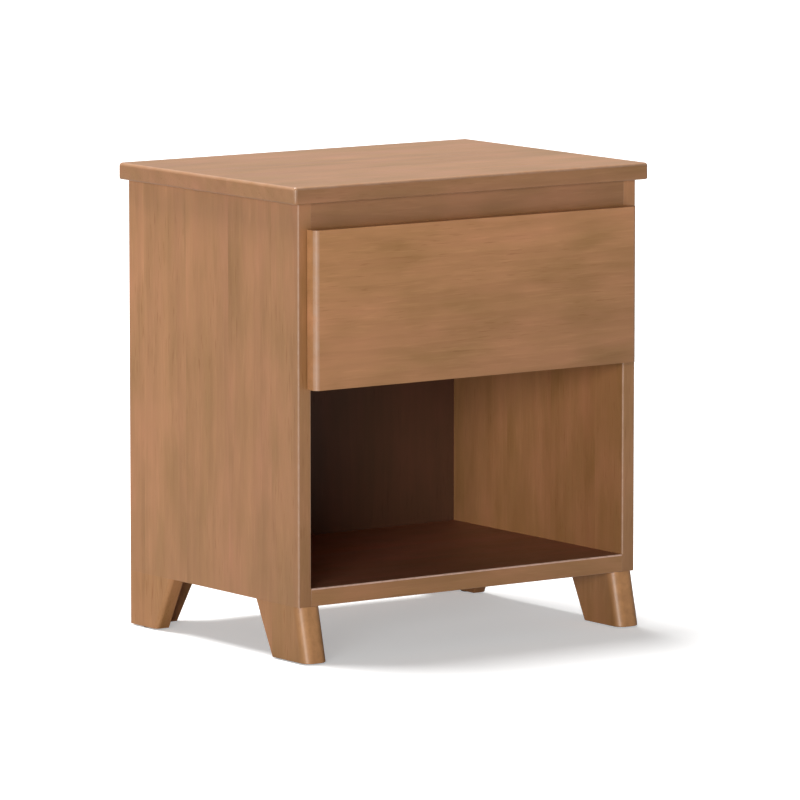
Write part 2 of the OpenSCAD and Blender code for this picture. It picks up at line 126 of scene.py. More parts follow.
class NightstandColours(bpy.types.PropertyGroup):
    stain_light: colour("Stain, light", "Lightest tone of the stained alder", (0.52, 0.258, 0.108))
    stain_dark: colour("Stain, dark", "Darkest tone of the stained alder", (0.275, 0.112, 0.038))
    top_light: colour("Top, light", "Lightest tone of the top board", (0.54, 0.275, 0.125))
    top_dark: colour("Top, dark", "Darkest tone of the top board", (0.31, 0.135, 0.052))
    panel_light: colour("Back panel, light", "Lightest tone of the back panel", (0.132, 0.054, 0.024))
    panel_dark: colour("Back panel, dark", "Darkest tone of the back panel", (0.060, 0.023, 0.010))
    plain_light: colour("Plain wood, light", "Lightest tone of the unstained wood", (0.74, 0.56, 0.36))
    plain_dark: colour("Plain wood, dark", "Darkest tone of the unstained wood", (0.50, 0.33, 0.17))
    steel: colour("Slide steel", "Colour of the zinc plated slides", (0.62, 0.63, 0.64))
    screw: colour("Screws", "Colour of the screws", (0.66, 0.66, 0.65))
    plastic: colour("Glides", "Colour of the moulded floor glides", (0.020, 0.020, 0.022))
    rubber: colour("Buffers", "Colour of the rubber buffers", (0.016, 0.016, 0.017))
    floor: colour("Floor", "Colour of the studio floor", (0.86, 0.86, 0.86))
    gloss: share("Finish roughness", "Roughness of the satin lacquer", 0.40)
    # paler colour on rounded edges: partly thinned stain, partly painted highlight
    wear: share("Edge wear", "How far the stain is thinned on rounded edges", 0.80)


class NightstandLight(bpy.types.PropertyGroup):
    turn: angle("Turn", "Camera's turn round the nightstand from straight ahead", -35.561)
    height: angle("Rise", "Camera's angle above the level", 7.536)
    distance: length("Distance", "From the camera to the nightstand's middle", 8.485, 30.0)
    aim_side: length("Aim across", "Sideways shift of the point looked at", 0.0211, 1.0, low=-1.0)
    aim_level: length("Aim level", "Height of the point looked at", 0.2690, 1.0)
    lens: FloatProperty(name="Lens", description="Focal length in millimetres", default=323.0, min=20.0,
                        max=600.0)
    key: strength("Key light", "Strength of the light from above", 4.7)
    left: strength("Left light", "Strength of the light from the left", 2.75)
    bounce: share("Floor bounce", "Share of its light that the floor throws back up", 0.45)
    lift: share("Floor lift", "Glow that keeps the shadows on the floor pale", 0.45)
    rim: strength("Rim light", "Strength of the low light from behind", 0.13)
    room: strength("Room light", "Strength of the light from all round", 0.12)


# ---- mesh helpers ----

def rounded(corners):
    """Turns (a, b, radius) corners into points, each with True where the next side belongs to an arc."""
    points = []
    for i, (a, b, r) in enumerate(corners):
        here = Vector((a, b))
        if r <= 0:
            points.append((here, False))
            continue
        before = (Vector(corners[i - 1][:2]) - here).normalized()
        after = (Vector(corners[(i + 1) % len(corners)][:2]) - here).normalized()
        half = before.angle(after) / 2
        centre = here + (before + after).normalized() * (r / math.sin(half))
        start = here + before * (r / math.tan(half)) - centre
        end = here + after * (r / math.tan(half)) - centre
        first = math.atan2(start.y, start.x)
        turn = (math.atan2(end.y, end.x) - first + math.pi) % (2 * math.pi) - math.pi
        for k in range(ARC_STEPS + 1):
            at = first + turn * k / ARC_STEPS
            points.append((centre + Vector((math.cos(at), math.sin(at))) * r, k < ARC_STEPS))
    return points


def corners_of(low, high, radii, axis):
    """The four (a, b, radius) corners of a box across an axis, from the lower pair round."""
    n = AXES[axis]
    a, b = (n + 1) % 3, (n + 2) % 3
    places = ((low[a], low[b]), (high[a], low[b]), (high[a], high[b]), (low[a], high[b]))
    return [(*corner, radius) for corner, radius in zip(places, radii)]


def place(a, b, level, axis):
    """A point of an outline drawn across an axis: X takes (y, z), Y takes (z, x), Z takes (x, y)."""
    point = Vector((0.0, 0.0, 0.0))
    n = AXES[axis]
    point[n], point[(n + 1) % 3], point[(n + 2) % 3] = level, a, b
    return point


def finish_mesh(name, bm, width, body, replaced, finish, segments=4):
    """Rounds the weighted edges, marks the rounded bands and hands the piece to its body."""
    mesh = bpy.data.meshes.new(name)
    bm.to_mesh(mesh)
    bm.free()
    mesh.materials.append(None)
    mesh.materials.append(None)
    draft = bpy.data.objects.new(name + "_draft", mesh)
    bpy.context.scene.collection.objects.link(draft)
    bevel = draft.modifiers.new("Arris", "BEVEL")
    bevel.limit_method = "WEIGHT"
    bevel.width = width
    bevel.segments = segments
    bevel.material = 1
    bevel.use_clamp_overlap = True
    normals = draft.modifiers.new("Normals", "WEIGHTED_NORMAL")
    normals.mode = "FACE_AREA"
    normals.weight = 60
    bpy.context.view_layer.update()
    graph = bpy.context.evaluated_depsgraph_get()
    final = bpy.data.meshes.new_from_object(draft.evaluated_get(graph), preserve_all_data_layers=True,
                                            depsgraph=graph)
    bpy.data.objects.remove(draft)
    bpy.data.meshes.remove(mesh)
    if not final.polygons:
        raise RuntimeError(f"{name} came out empty")
    mark_arrises(final)
    final.name = name
    piece = bpy.data.objects.new(name, final)
    bpy.context.scene.collection.objects.link(piece)
    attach(piece, body)
    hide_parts(*replaced)
    return paint(piece, finish)


def mark_arrises(mesh):
    """Writes how deep each corner lies in a rounded band, 0 on flat faces and 1 in the band's middle."""
    flat = [False] * len(mesh.vertices)
    for face in mesh.polygons:
        if face.material_index == 0:
            for v in face.vertices:
                flat[v] = True
    arris = mesh.attributes.new("arris", "FLOAT", "CORNER")
    values = [0.0] * len(mesh.loops)
    for face in mesh.polygons:
        if face.material_index:
            for loop in face.loop_indices:
                values[loop] = 0.0 if flat[mesh.loops[loop].vertex_index] else 1.0
        face.material_index = 0
        face.use_smooth = True
    arris.data.foreach_set("value", values)


def set_edge_wear_and_highlight(piece, edge_wear_and_highlight_at):
    """Changes the edge wear and painted highlight of a piece at each corner to the given function of point,
    normal and amount so far.
    """
    mesh = piece.data
    arris = mesh.attributes["arris"].data
    for loop in mesh.loops:
        corner = mesh.vertices[loop.vertex_index]
        arris[loop.index].value = edge_wear_and_highlight_at(corner.co, corner.normal, arris[loop.index].value)


def loft(node, low, high, axis, start, end, ease, body, finish, name=None, radius_at=None, band=True,
         between=()):
    """A board or foot between an outline at each end, its end edges rounded by ease or by radius_at(point).

    More (outline, level) pairs may be given in between, each with as many corners as the ends."""
    bm = bmesh.new()
    weight = bm.edges.layers.float.new("bevel_weight_edge")
    rings = []
    for corners, level in ((low, start), *between, (high, end)):
        points = rounded(corners)
        rings.append([bm.verts.new(place(p.x, p.y, level, axis)) for p, _ in points])
    bands = [in_arc for _, in_arc in points]
    count = len(points)
    caps = [bm.faces.new(rings[0][::-1]), bm.faces.new(rings[-1])]
    for lower, upper in zip(rings, rings[1:]):
        for i in range(count):
            j = (i + 1) % count
            side = bm.faces.new((lower[i], lower[j], upper[j], upper[i]))
            side.material_index = 1 if band and bands[i] else 0
    if between:
        bmesh.ops.remove_doubles(bm, verts=bm.verts[:], dist=2 * SAME_POINT)
        caps = [face for face in caps if face.is_valid]
    for face in bm.faces:
        face.smooth = True
    radii = {}
    for cap in caps:
        for edge in cap.edges:
            middle = (edge.verts[0].co + edge.verts[1].co) / 2
            radii[edge] = radius_at(middle) if radius_at else ease
    widest = max(radii.values())
    for edge, radius in radii.items():
        edge[weight] = radius / widest
    bmesh.ops.recalc_face_normals(bm, faces=bm.faces[:])
    return finish_mesh(name or node + "_shaped", bm, widest, body, [node], finish)


def soften(node, radius, body, finish):
    """A copy of a plain cut node with every sharp edge eased, which stands for the node."""
    bm = bmesh.new()
    bm.from_mesh(frame["nodes"][node].data)
    bmesh.ops.remove_doubles(bm, verts=bm.verts[:], dist=SAME_POINT)
    bmesh.ops.dissolve_limit(bm, angle_limit=math.radians(1), verts=bm.verts[:], edges=bm.edges[:])
    layers = bm.edges.layers.float
    weight = layers.get("bevel_weight_edge") or layers.new("bevel_weight_edge")
    for face in bm.faces:
        face.smooth = True
        face.material_index = 0
    for edge in bm.edges:
        sharp = len(edge.link_faces) == 2 and edge.calc_face_angle(0.0) > SHARP
        edge[weight] = 1.0 if sharp and edge.calc_length() > 2.5 * radius else 0.0
    return finish_mesh(node + "_eased", bm, radius, body, [node], finish, segments=2)


# ---- shader helpers ----

class Graph:
    """Short ways to add nodes to one tree."""

    def __init__(self, tree):
        self.tree = tree

    def node(self, kind, **settings):
        node = self.tree.nodes.new(kind)
        for key, value in settings.items():
            setattr(node, key, value)
        return node

    def link(self, source, target):
        self.tree.links.new(source, target)

    def feed(self, socket, value):
        if isinstance(value, bpy.types.NodeSocket):
            self.link(value, socket)
        else:
            socket.default_value = value

    def where(self, kind="Object"):
        return self.node("ShaderNodeTexCoord").outputs[kind]

    def math(self, operation, *values, clamp=False):
        node = self.node("ShaderNodeMath", operation=operation, use_clamp=clamp)
        for socket, value in zip(node.inputs, values):
            self.feed(socket, value)
        return node.outputs[0]

    def plus(self, a, b, clamp=False):
        return self.math("ADD", a, b, clamp=clamp)

    def minus(self, a, b, clamp=False):
        return self.math("SUBTRACT", a, b, clamp=clamp)

    def times(self, a, b, clamp=False):
        return self.math("MULTIPLY", a, b, clamp=clamp)

    def swing(self, value, amount):
        """A value between 0 and 1 turned into a change of up to half the amount either way."""
        return self.times(self.minus(value, 0.5), amount)

    def vector(self, operation, *values):
        node = self.node("ShaderNodeVectorMath", operation=operation)
        for socket, value in zip(node.inputs, values):
            self.feed(socket, value)
        return node.outputs["Value"] if operation == "DOT_PRODUCT" else node.outputs["Vector"]

    def noise(self, vector, scale, detail=2.0, rough=0.5, distortion=0.0):
        node = self.node("ShaderNodeTexNoise")
        for key, value in (("Vector", vector), ("Scale", scale), ("Detail", detail), ("Roughness", rough),
                           ("Distortion", distortion)):
            self.feed(node.inputs[key], value)
        return node.outputs["Fac"]

    def remap(self, value, low, high, to_low=0.0, to_high=1.0, smooth=False):
        node = self.node("ShaderNodeMapRange", clamp=True,
                         interpolation_type="SMOOTHSTEP" if smooth else "LINEAR")
        for key, item in (("Value", value), ("From Min", low), ("From Max", high), ("To Min", to_low),
                          ("To Max", to_high)):
            self.feed(node.inputs[key], item)
        return node.outputs["Result"]

    def mix(self, factor, a, b):
        node = self.node("ShaderNodeMix", data_type="RGBA", clamp_factor=True)
        self.feed(node.inputs[0], factor)
        self.feed(node.inputs[6], a)
        self.feed(node.inputs[7], b)
        return node.outputs[2]

    def group(self, build, **values):
        """The outputs of the node group that build makes, which is made once and named after it."""
        name = build.__name__.replace("_", " ").title()
        tree = bpy.data.node_groups.get(name)
        if tree is None:
            tree = bpy.data.node_groups.new(name, "ShaderNodeTree")
            build(tree)
        node = self.node("ShaderNodeGroup", node_tree=tree)
        for key, value in values.items():
            self.feed(node.inputs[key.replace("_", " ")], value)
        return node.outputs

    def relief(self, shader, height, strength, depth):
        """Fine relief of a finish."""
        node = self.node("ShaderNodeBump")
        node.inputs["Strength"].default_value = strength
        node.inputs["Distance"].default_value = depth
        self.link(height, node.inputs["Height"])
        self.link(node.outputs[0], shader.inputs["Normal"])


SOCKET_KINDS = {1: "NodeSocketFloat", 3: "NodeSocketVector", 4: "NodeSocketColor"}


def open_group(tree, inputs, outputs):
    """Gives a group its inputs, of the kinds that their defaults ask for, and its outputs."""
    for name, default in inputs.items():
        size = len(default) if isinstance(default, tuple) else 1
        socket = tree.interface.new_socket(name=name, in_out="INPUT", socket_type=SOCKET_KINDS[size])
        socket.default_value = default
    for name in outputs:
        size = 4 if name == "Colour" else 1
        tree.interface.new_socket(name=name, in_out="OUTPUT", socket_type=SOCKET_KINDS[size])
    g = Graph(tree)
    return g, g.node("NodeGroupInput").outputs, g.node("NodeGroupOutput").inputs


def board_figure(tree):
    """Figure of a board: glued staves, growth rings, long fibres and short dark flecks."""
    g, put, out = open_group(
        tree, {"Across": 0.0, "Through": 0.0, "Along": 0.0, "Stave Width": 0.09, "Ring Width": 0.012,
               "Seed": 0.0},
        ("Rings", "Fibres", "Flecks", "Pale", "Stave", "Blotch", "Height"))
    across, through, along, stave_width = (put[k] for k in ("Across", "Through", "Along", "Stave Width"))

    count = g.math("FLOOR", g.plus(g.math("DIVIDE", across, stave_width), put["Seed"]))
    pick = g.node("ShaderNodeTexWhiteNoise", noise_dimensions="1D")
    g.feed(pick.inputs["W"], g.plus(count, put["Seed"]))
    shift = g.vector("MULTIPLY", pick.outputs["Color"], (40.0, 40.0, 40.0))
    stave = pick.outputs["Value"]

    def grain(crosswise, lengthwise, detail=2.0, rough=0.5):
        """Noise with so many cells to the metre, different in every stave."""
        node = g.node("ShaderNodeCombineXYZ")
        scales = (crosswise, crosswise, lengthwise)
        for socket, value, scale in zip(node.inputs, (across, through, along), scales):
            g.feed(socket, g.times(value, scale))
        return g.noise(g.vector("ADD", node.outputs[0], shift), 1.0, detail, rough)

    pith = g.swing(stave, 0.10)
    side = g.minus(g.minus(across, g.times(g.plus(count, 0.5), stave_width)), pith)
    deep = g.plus(through, g.times(g.plus(stave, 0.6), 0.09))
    radius = g.math("SQRT", g.plus(g.times(side, side), g.times(deep, deep)))
    radius = g.plus(radius, g.times(grain(7.0, 1.1), 0.11))
    radius = g.plus(radius, g.times(grain(22.0, 5.0), 0.018))
    turns = g.math("FRACT", g.math("DIVIDE", radius, put["Ring Width"]))
    rings = g.minus(g.remap(turns, 0.0, 0.82, smooth=True), g.remap(turns, 0.86, 1.0, smooth=True), clamp=True)

    long_fibres = grain(300.0, 19.0, 3.0, 0.6)
    fine_fibres = grain(1300.0, 45.0, 2.0, 0.6)
    bands = grain(30.0, 1.6)
    fibres = g.plus(g.times(long_fibres, 0.28), g.plus(g.times(fine_fibres, 0.16), g.times(bands, 0.56)))
    flecks = g.times(g.remap(grain(480.0, 38.0, 1.0, 0.4), 0.62, 0.74),
                     g.remap(grain(16.0, 7.0, 1.0), 0.42, 0.60))
    pores = g.remap(grain(2600.0, 240.0, 1.0), 0.62, 0.74)
    pale = g.remap(grain(430.0, 30.0, 1.0, 0.4), 0.40, 0.28)
    blotch = g.plus(g.times(grain(9.0, 5.0), 0.5), g.times(grain(34.0, 11.0), 0.5))
    height = g.minus(g.times(long_fibres, 0.5), g.plus(g.times(pores, 0.35), g.times(flecks, 0.5)))
    for name, value in (("Rings", rings), ("Fibres", fibres),
                        ("Flecks", g.math("MAXIMUM", flecks, g.times(pores, 0.25))),
                        ("Pale", pale), ("Stave", stave), ("Blotch", blotch), ("Height", height)):
        g.link(value, out[name])


def grain_axes(tree):
    """Splits a place into across, through and along a board, with grain along the chosen axis."""
    g, put, out = open_group(
        tree, {"Along Axis": (0.0, 0.0, 1.0), "Across Axis": (0.0, 1.0, 0.0), "Through Axis": (1.0, 0.0, 0.0)},
        ("Across", "Through", "Along", "End Grain"))
    for name in ("Across", "Through", "Along"):
        g.link(g.vector("DOT_PRODUCT", g.where(), put[name + " Axis"]), out[name])
    facing = g.math("ABSOLUTE", g.vector("DOT_PRODUCT", g.where("Normal"), put["Along Axis"]))
    g.link(g.remap(facing, 0.55, 0.95, smooth=True), out["End Grain"])


def stain(tree):
    """Stained or bare colour and sheen of a board from its figure."""
    g, put, out = open_group(
        tree, {"Light": (0.5, 0.3, 0.15, 1.0), "Dark": (0.25, 0.12, 0.05, 1.0), "Rings": 0.5, "Fibres": 0.5,
               "Flecks": 0.0, "Pale": 0.0, "Stave": 0.5, "Blotch": 0.5, "End Grain": 0.0, "Contrast": 1.0,
               "Stave Contrast": 0.2, "Sheen": 0.4, "End Contrast": 0.15}, ("Colour", "Roughness"))
    tone = g.plus(g.swing(put["Rings"], 0.075), g.swing(put["Fibres"], 0.70))
    tone = g.plus(tone, g.swing(put["Blotch"], 1.7))
    tone = g.plus(tone, g.times(put["Pale"], 0.10))
    tone = g.times(tone, put["Contrast"])
    tone = g.plus(tone, g.swing(put["Stave"], put["Stave Contrast"]))
    tone = g.minus(tone, g.times(put["End Grain"], put["End Contrast"]))
    tone = g.plus(tone, 0.45, clamp=True)
    tone = g.minus(tone, g.times(put["Flecks"], 0.22), clamp=True)
    warm = g.node("ShaderNodeHueSaturation")
    g.feed(warm.inputs["Hue"], g.plus(0.5, g.swing(put["Blotch"], -0.05)))
    g.feed(warm.inputs["Color"], g.mix(g.minus(1.0, tone), put["Light"], put["Dark"]))
    g.link(warm.outputs[0], out["Colour"])
    rough = g.plus(put["Sheen"], g.swing(put["Fibres"], 0.30))
    rough = g.plus(rough, g.times(put["End Grain"], 0.14))
    g.link(g.plus(rough, g.times(put["Flecks"], 0.12), clamp=True), out["Roughness"])


def painted_light_gradient(tree):
    """Painted light: a board's colour made lighter towards one side and darker towards the other, as light
    falls unevenly on it.
    """
    g, put, out = open_group(tree, {"Colour": (0.5, 0.3, 0.15, 1.0), "Middle": (0.0, 0.0, 0.0),
                                    "Slope": (0.0, 0.0, 0.0)}, ("Colour",))
    offset = g.vector("SUBTRACT", g.where(), put["Middle"])
    node = g.node("ShaderNodeVectorMath", operation="SCALE")
    g.feed(node.inputs[0], put["Colour"])
    g.feed(node.inputs["Scale"], g.remap(g.vector("DOT_PRODUCT", offset, put["Slope"]), -0.3, 0.3, 0.7, 1.3))
    g.link(node.outputs[0], out["Colour"])


def edge_wear_and_highlight(tree):
    """Mask of the rounded edges, broken up by noise, where a paler colour stands for thinned stain and for
    painted highlight.
    """
    g, put, out = open_group(tree, {"Amount": 0.5}, ("Mask",))
    band = g.node("ShaderNodeAttribute", attribute_name="arris").outputs["Fac"]
    broken = g.remap(g.noise(g.where(), 90.0, 3.0, 0.6), 0.30, 0.70, 0.45, 1.0)
    g.link(g.times(g.times(band, broken), put["Amount"], clamp=True), out["Mask"])


def handled(tree):
    """Faint smears left by hands and cloths on a finished surface."""
    g, put, out = open_group(tree, {"Scale": 14.0, "Amount": 0.08}, ("Value",))
    g.link(g.swing(g.noise(g.where(), put["Scale"], 4.0, 0.6, 1.2), put["Amount"]), out["Value"])


def rolled_metal(tree):
    """Rolling lines, crystal patches and scratches of sheet steel, drawn along one axis."""
    g, put, out = open_group(tree, {"Stretch": (1.0, 0.04, 1.0), "Scale": 900.0, "Patch Scale": 160.0},
                             ("Lines", "Patches", "Scratches"))
    drawn = g.vector("MULTIPLY", g.where(), put["Stretch"])
    g.link(g.noise(drawn, put["Scale"], 3.0, 0.6), out["Lines"])
    cells = g.node("ShaderNodeTexVoronoi")
    g.feed(cells.inputs["Vector"], g.where())
    g.feed(cells.inputs["Scale"], put["Patch Scale"])
    tones = g.node("ShaderNodeSeparateColor")
    g.link(cells.outputs["Color"], tones.inputs[0])
    g.link(tones.outputs[0], out["Patches"])
    scratches = g.noise(drawn, g.times(put["Scale"], 0.35), 1.0, 0.4, 0.6)
    g.link(g.remap(scratches, 0.66, 0.72), out["Scratches"])


def rgba(values):
    return (values[0], values[1], values[2], 1.0)


def toned(colour, *gain):
    """A colour multiplied by one number or by three."""
    return tuple(c * k for c, k in zip(colour, gain if len(gain) == 3 else gain * 3))


def new_material(name):
    material = bpy.data.materials.new(name)
    material.use_nodes = True
    shader = next(n for n in material.node_tree.nodes if n.type == "BSDF_PRINCIPLED")
    return material, Graph(material.node_tree), shader


def wood(name, axes, light, dark, sheen, wear=0.0, coat=0.0, contrast=1.0, stave_width=0.09,
         stave_contrast=0.15, ring_width=0.016, seed=0.0, pale=None, fade=None, end_contrast=0.15):
    """A board's finish; axes names the across, through and along directions, such as "YXZ"."""
    material, g, shader = new_material(name)
    across, through, along = (AXIS_VECTORS[a] for a in axes)
    way = g.group(grain_axes, Across_Axis=across, Through_Axis=through, Along_Axis=along)
    figure = g.group(board_figure, Across=way["Across"], Through=way["Through"], Along=way["Along"],
                     Stave_Width=stave_width, Ring_Width=ring_width, Seed=seed)
    colouring = g.group(stain, Light=rgba(light), Dark=rgba(dark), End_Grain=way["End Grain"],
                        Contrast=contrast, Stave_Contrast=stave_contrast, Sheen=sheen,
                        End_Contrast=end_contrast,
                        **{k: figure[k] for k in ("Rings", "Fibres", "Flecks", "Pale", "Stave", "Blotch")})
    result = colouring["Colour"]
    # painted light: the colour graded lighter towards one side of the board
    if fade:
        middle, slope = fade
        result = g.group(painted_light_gradient, Colour=result, Middle=middle, Slope=slope)["Colour"]
    if wear:
        # paler colour on rounded edges: partly thinned stain, partly painted highlight
        wear_and_highlight_tone = pale or tuple(c * 0.55 + lift for c, lift in zip(light, (0.17, 0.135, 0.125)))
        result = g.mix(g.group(edge_wear_and_highlight, Amount=wear)["Mask"], result, rgba(wear_and_highlight_tone))
    g.link(result, shader.inputs["Base Color"])
    smears = g.group(handled, Amount=0.10)["Value"]
    g.link(g.plus(colouring["Roughness"], smears, clamp=True), shader.inputs["Roughness"])
    shader.inputs["Coat Weight"].default_value = coat
    shader.inputs["Coat Roughness"].default_value = 0.26
    shader.inputs["Specular IOR Level"].default_value = 0.45
    g.relief(shader, figure["Height"], 0.6, WOOD_RELIEF)
    return material


def steel(name, base, rough, stretch=(1.0, 0.04, 1.0), patches=0.10, scale=900.0):
    """Zinc plated or plain steel with rolling lines and light scratches."""
    material, g, shader = new_material(name)
    metal = g.group(rolled_metal, Stretch=stretch, Scale=scale)
    lines, spots = metal["Lines"], metal["Patches"]
    amount = g.plus(g.times(lines, 0.45), g.times(spots, patches * 3))
    tone = g.mix(g.minus(1.0, amount, clamp=True), rgba(base), rgba(toned(base, 0.62)))
    bright = tuple(min(1.0, c) for c in toned(base, 1.2))
    g.link(g.mix(g.times(metal["Scratches"], 0.35), tone, rgba(bright)), shader.inputs["Base Color"])
    shader.inputs["Metallic"].default_value = 1.0
    value = g.plus(rough, g.swing(lines, 0.25))
    g.link(g.plus(value, g.swing(spots, patches), clamp=True), shader.inputs["Roughness"])
    g.relief(shader, lines, 0.35, 0.00002)
    return material


def moulded(name, base, rough, grain_scale):
    """Moulded plastic or rubber with a fine even texture and faint mottling."""
    material, g, shader = new_material(name)
    mottle = g.remap(g.noise(g.where(), 120.0, 3.0, 0.6), 0.35, 0.75)
    pale = tuple(min(1.0, c * 1.8 + 0.008) for c in base)
    g.link(g.mix(mottle, rgba(base), rgba(pale)), shader.inputs["Base Color"])
    texture = g.noise(g.where(), grain_scale, 2.0, 0.6)
    smears = g.group(handled, Amount=0.12, Scale=60.0)["Value"]
    g.link(g.plus(g.plus(rough, g.times(texture, 0.15)), smears, clamp=True), shader.inputs["Roughness"])
    g.relief(shader, texture, 0.5, 0.00005)
    return material


def material(name):
    """A finish by name, made the first time it is used."""
    found = bpy.data.materials.get(name)
    if found:
        return found
    c = bpy.context.scene.nightstand_colours
    alder = dict(light=c.stain_light, dark=c.stain_dark, sheen=c.gloss, wear=c.wear, coat=0.3)
    bare = dict(light=c.plain_light, dark=c.plain_dark, sheen=0.62, contrast=0.9, stave_width=0.5,
                ring_width=0.006)
    lacquered = bare | dict(wear=0.2, coat=0.1)
    beech = dict(light=(0.62, 0.44, 0.28), dark=(0.44, 0.28, 0.16), sheen=0.6, ring_width=0.003,
                 stave_width=0.5)
    upright = dict(axes="YXZ", seed=3.3, stave_width=0.088, stave_contrast=0.05)
    level = dict(axes="YZX", seed=1.6, stave_contrast=0.15)
    one_board = dict(stave_contrast=0.0, stave_width=0.4)
    # the feet's paler edge colour is painted light on the front noses
    feet = alder | dict(sheen=c.gloss + 0.06, coat=0.14, pale=toned(c.stain_light, 1.22))
    shaded = (0.67, 0.53, 0.66)
    boards = {
        # painted light: the side panels lighter towards the back and the top
        "alder_side": alder | upright | dict(fade=((0.0, -0.04, 0.24), (0.0, 0.53, 0.29))),
        # the bright edge colour of the level boards is partly painted highlight
        "alder_level": alder | level | dict(pale=(0.80, 0.54, 0.43)),
        # painted shade: a darker copy of the stain for the front rail and the top board's front face
        "alder_rail": alder | one_board | dict(
            axes="ZYX", seed=5.2, light=toned(c.stain_light, 0.86), dark=toned(c.stain_dark, 0.82)),
        # painted light: a lighter copy of the stain for the drawer front, lighter still towards its top and
        # left
        "alder_front": alder | one_board | dict(
            axes="ZYX", seed=7.4, light=toned(c.stain_light, 1.12), dark=toned(c.stain_dark, 1.15),
            contrast=1.1, end_contrast=0.0, fade=((0.0, 0.0, 0.408), (-0.46, 0.0, 1.3))),
        # painted light: the feet lighter towards the back and the top, as on the side panels
        "alder_foot": feet | upright | dict(fade=((0.0, -0.10, 0.20), (0.0, 0.53, 0.29))),
        # painted light: a lighter copy of the stain for the rear feet's back boards, which stand in shade under
        # the case
        "alder_foot_back": feet | one_board | dict(
            axes="XYZ", seed=2.7, light=toned(c.stain_light, 1.3), dark=toned(c.stain_dark, 1.3)),
        # painted shade: a darker, redder copy of the stain for the cubby floor's top face
        "alder_inside": level | dict(
            light=toned(c.stain_light, *shaded), dark=toned(c.stain_dark, *shaded), sheen=c.gloss + 0.1),
        "alder_top": dict(axes="YZX", seed=4.5, stave_width=0.08, stave_contrast=0.12, light=c.top_light,
                          dark=c.top_dark, sheen=c.gloss - 0.04, wear=c.wear, coat=0.4, contrast=0.8),
        "alder_panel": dict(axes="XYZ", seed=6.4, stave_width=0.15, stave_contrast=0.1, light=c.panel_light,
                            dark=c.panel_dark, sheen=0.5, wear=0.2, contrast=0.9),
        "plain_across": bare | dict(axes="ZYX", seed=1.2),
        "plain_deep": bare | dict(axes="ZXY", seed=8.2),
        "plain_upright": bare | dict(axes="YXZ", seed=3.9),
        "drawer_across": lacquered | dict(axes="ZYX", seed=11.2),
        "drawer_deep": lacquered | dict(axes="ZXY", seed=12.7),
        "drawer_ply": lacquered | dict(
            axes="YZX", seed=13.4, wear=0.0, sheen=0.55, ring_width=0.03, contrast=0.7),
        "beech_across": beech | dict(axes="YZX"),
        "beech_upright": beech | dict(axes="YXZ"),
    }
    every_way = dict(stretch=(1.0, 1.0, 1.0))
    metals = {
        "slide_steel": dict(base=c.steel, rough=0.34),
        "cage_steel": dict(base=toned(c.steel, 0.75), rough=0.42, patches=0.05),
        "ball_steel": every_way | dict(base=(0.78, 0.78, 0.78), rough=0.12, patches=0.02, scale=1600.0),
        "screw_zinc": every_way | dict(base=c.screw, rough=0.30, patches=0.12, scale=1400.0),
    }
    mouldings = {
        "glide_plastic": dict(base=c.plastic, rough=0.42, grain_scale=1800.0),
        "bumper_rubber": dict(base=c.rubber, rough=0.66, grain_scale=1200.0),
    }
    for make, recipes in ((wood, boards), (steel, metals), (moulded, mouldings)):
        if name in recipes:
            return make(name, **recipes[name])
    raise KeyError(f"no finish is called {name}")


def paint(piece, name):
    piece.data.materials.clear()
    piece.data.materials.append(material(name))
    return piece


def paint_part(piece, name, chosen):
    """Gives a second finish to the faces for which chosen(face) is true."""
    piece.data.materials.append(material(name))
    for face in piece.data.polygons:
        if chosen(face):
            face.material_index = 1


